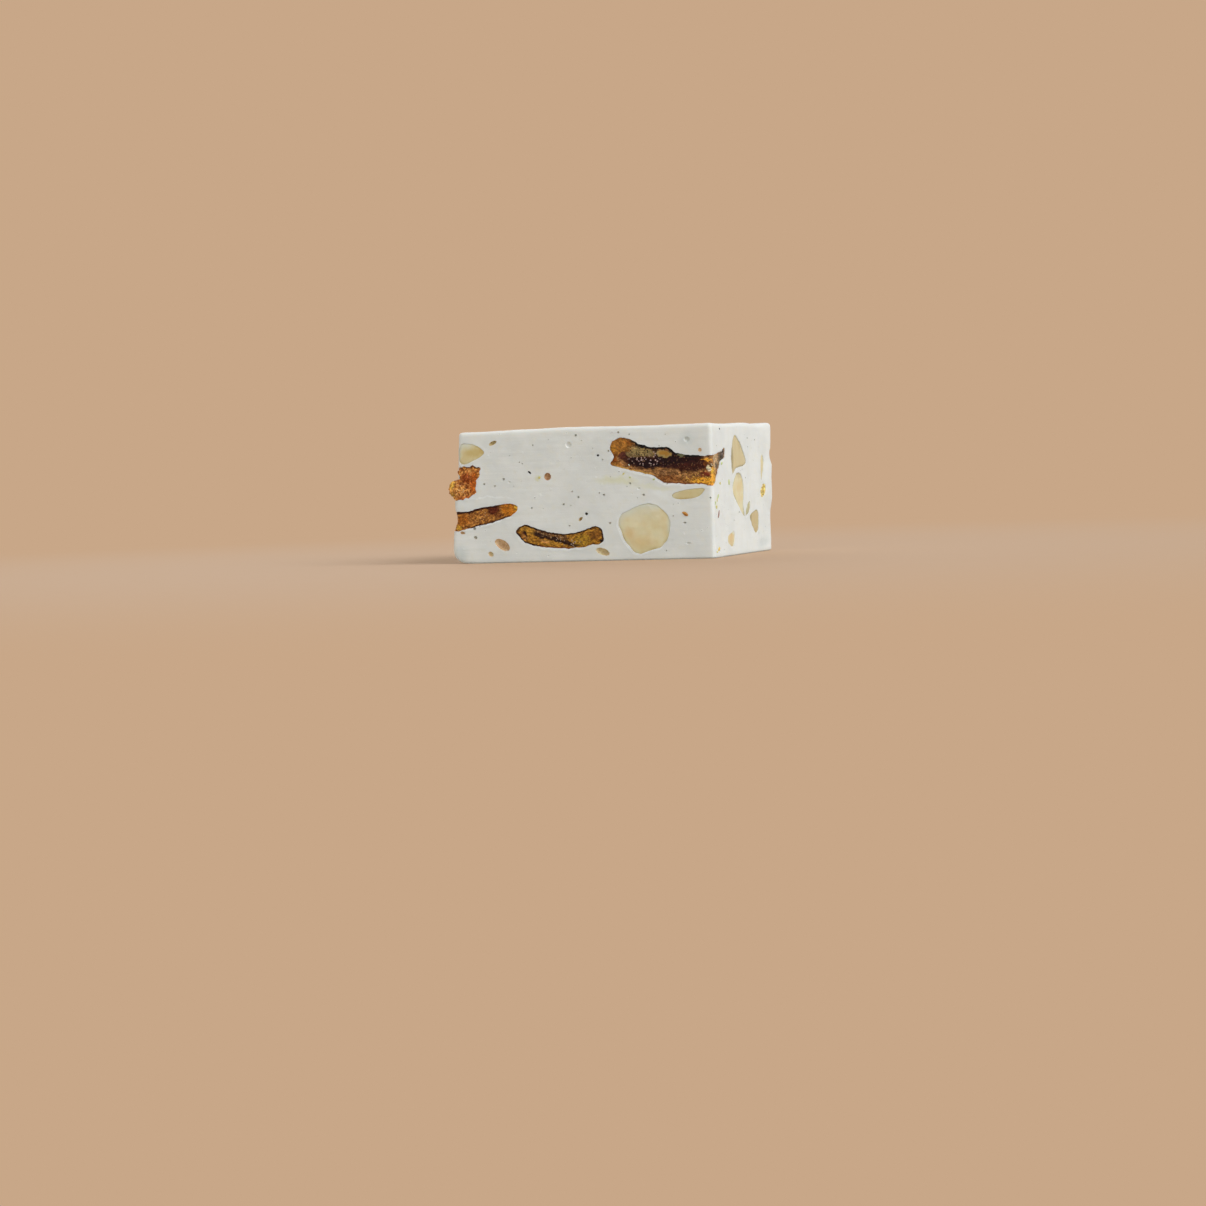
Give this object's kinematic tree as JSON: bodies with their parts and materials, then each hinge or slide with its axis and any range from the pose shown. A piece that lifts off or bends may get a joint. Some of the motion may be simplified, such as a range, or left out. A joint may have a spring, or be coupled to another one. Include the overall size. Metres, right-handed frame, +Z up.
{
  "type": "nougat bar",
  "caption": "Thick block of soft white nougat with knife-cut sides that show nut pieces, dried fruit slices and small air bubbles.",
  "frame": {"origin": "middle of the overall box at the level of the flat base", "axes": "+X along the front, which is the long cut side; +Y from the front to the back; +Z up. The front faces -Y."},
  "size_m": [0.0694, 0.0572, 0.0334],
  "materials": {
    "nougat": "soft, slightly waxy matt",
    "nut": "smooth cut nut, slightly translucent",
    "dried_fruit": "sticky and fibrous, partly translucent"
  },
  "bodies": {
    "root": {"nougat_bar": "nougat", "nut_round": "nut", "nut_corner": "nut", "nut_leaf": "nut", "fruit_corner_slice": "dried_fruit", "fruit_curved_slice": "dried_fruit", "fruit_left_slice": "dried_fruit", "fruit_left_lump": "dried_fruit", "nut_fin": "nut", "nut_drop": "nut", "nut_hook": "nut", "nut_shield": "nut", "nut_low": "nut", "nut_thin": "nut", "fruit_amber_bit": "dried_fruit", "fruit_back_long": "dried_fruit", "fruit_back_bent": "dried_fruit", "fruit_back_end": "dried_fruit", "nut_back_whole": "nut", "nut_back_left": "nut", "nut_back_middle": "nut", "nut_back_small": "nut", "nut_left_large": "nut", "nut_left_low": "nut", "nut_left_small": "nut", "fruit_left_strip": "dried_fruit"}
  },
  "joints": []
}
